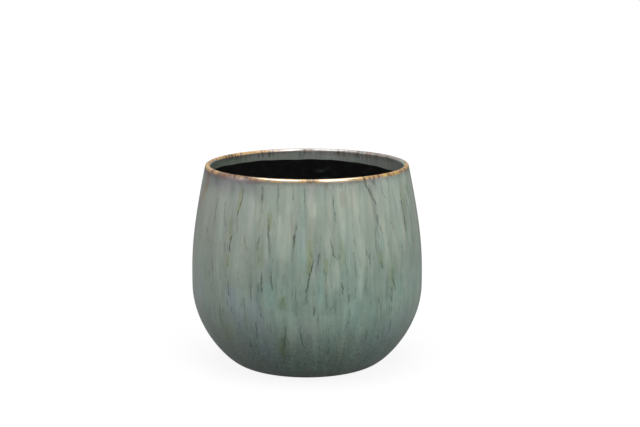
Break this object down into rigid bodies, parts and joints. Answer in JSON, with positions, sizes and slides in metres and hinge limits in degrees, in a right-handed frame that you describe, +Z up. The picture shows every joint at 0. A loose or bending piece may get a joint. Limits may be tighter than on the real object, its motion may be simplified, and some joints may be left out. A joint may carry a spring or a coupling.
{
  "type": "flower pot",
  "caption": "Round-bellied glazed stoneware flower pot with a thin rounded lip, a narrow base on a foot ring, and a black waterproof coat inside to hold a potted plant.",
  "frame": {"origin": "on the ground under the middle of the foot ring", "axes": "+Z up along the pot's axis; the pot is round, and the picture looks along +Y"},
  "size_m": [0.23, 0.23, 0.2],
  "materials": {
    "fired_clay": "dry unglazed buff stoneware, fine grain",
    "green_glaze": "glossy grey-green drip glaze with pale streaks and dark veins",
    "honey_glaze": "glossy honey-brown glaze with dark flecks",
    "neck_green_glaze": "glossy grey-green glaze with dark drips",
    "black_coat": "satin black brushed waterproof coat"
  },
  "bodies": {
    "root": {"stoneware_body": "fired_clay", "outer_glaze": "green_glaze", "rim_glaze": "honey_glaze", "neck_glaze": "neck_green_glaze", "waterproof_coat": "black_coat"}
  },
  "joints": []
}
